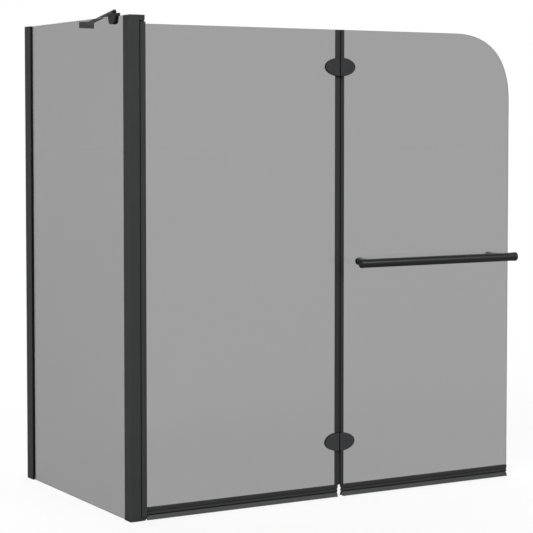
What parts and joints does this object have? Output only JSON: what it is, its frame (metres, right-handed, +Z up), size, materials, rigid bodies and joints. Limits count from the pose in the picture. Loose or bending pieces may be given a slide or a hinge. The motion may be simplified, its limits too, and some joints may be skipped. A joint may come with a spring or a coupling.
{
  "type": "bi-fold bath shower enclosure",
  "caption": "Corner bath screen: a fixed smoked-glass side panel and two hinged glass leaves that fold inward, with a corner post, a wall stay, drip seals and a towel bar.",
  "frame": {"origin": "centre of the corner post's foot, on the rim of the bath", "axes": "+X along the folding leaves from the post to the free edge, +Y along the side glass to the wall, +Z up"},
  "size_m": [1.2178, 0.755, 1.32],
  "materials": {
    "profile_powder_coat": "fine matt black powder coat on extruded aluminium",
    "post_plastic": "matt black moulded plastic",
    "pivot_bush_plastic": "plain black acetal",
    "smoked_side_glass": "polished smoked grey safety glass",
    "smoked_leaf_glass": "polished smoked grey safety glass",
    "black_rubber": "matt black soft rubber",
    "edge_seal_vinyl": "satin black extruded vinyl",
    "drip_lip_vinyl": "satin dark grey soft vinyl",
    "hinge_black_coat": "satin black lacquered zinc casting",
    "hinge_pin_steel": "ground stainless steel",
    "black_screw_steel": "black oxide steel",
    "towel_bar_black_coat": "satin black powder coat on steel tube",
    "clear_washer": "clear soft plastic",
    "pivot_zinc": "black lacquered zinc casting"
  },
  "bodies": {
    "frame": {"wall_channel": "profile_powder_coat", "wall_channel_cap": "post_plastic", "side_glass_profile": "profile_powder_coat", "profile_lock_screws": "black_screw_steel", "wall_glazing_strip": "black_rubber", "side_glass": "smoked_side_glass", "post_glazing_strip": "black_rubber", "corner_post": "profile_powder_coat", "post_nose_strip": "black_rubber", "post_cap": "post_plastic", "post_cap_screws": "black_screw_steel", "post_foot": "post_plastic", "post_foot_screws": "black_screw_steel", "top_pivot_bush": "pivot_bush_plastic", "foot_pivot_bush": "pivot_bush_plastic", "stay_bar": "towel_bar_black_coat", "stay_screw": "black_screw_steel", "stay_glass_clamp": "hinge_black_coat", "clamp_pad_lining": "black_rubber", "clamp_grub_screws": "black_screw_steel", "stay_wall_bracket": "hinge_black_coat", "bracket_grub_screw": "black_screw_steel"},
    "leaf_1": {"leaf_1_glass": "smoked_leaf_glass", "leaf_1_stile": "profile_powder_coat", "leaf_1_stile_strip": "black_rubber", "leaf_1_pivot_plugs": "pivot_zinc", "leaf_1_rail": "profile_powder_coat", "leaf_1_drip_lip": "drip_lip_vinyl", "leaf_1_edge_seal": "edge_seal_vinyl", "leaf_1_outer_hinge_plates": "hinge_black_coat", "leaf_1_inner_hinge_plates": "hinge_black_coat", "leaf_1_hinge_gaskets": "black_rubber", "leaf_1_hinge_screws": "black_screw_steel", "fold_hinge_pins": "hinge_pin_steel"},
    "leaf_2": {"leaf_2_glass": "smoked_leaf_glass", "leaf_2_rail": "profile_powder_coat", "leaf_2_rail_end_cap": "post_plastic", "leaf_2_drip_lip": "drip_lip_vinyl", "leaf_2_edge_seal": "edge_seal_vinyl", "leaf_2_outer_hinge_plates": "hinge_black_coat", "leaf_2_inner_hinge_plates": "hinge_black_coat", "leaf_2_hinge_gaskets": "black_rubber", "leaf_2_hinge_screws": "black_screw_steel", "towel_bar": "towel_bar_black_coat", "towel_bar_end_caps": "towel_bar_black_coat", "towel_bar_standoffs": "towel_bar_black_coat", "towel_bar_washers": "clear_washer", "towel_bar_bolts": "black_screw_steel"}
  },
  "joints": [
    {"name": "leaf_1_swing", "type": "hinge", "parent": "frame", "child": "leaf_1", "pos_m": [0.024, -0.0085, 0.65], "axis": [0, 0, 1], "range_deg": [-90, 30]},
    {"name": "leaf_2_fold", "type": "hinge", "parent": "leaf_1", "child": "leaf_2", "pos_m": [0.621, 0.0025, 0.65], "axis": [0, 0, 1], "range_deg": [0, 180]}
  ]
}
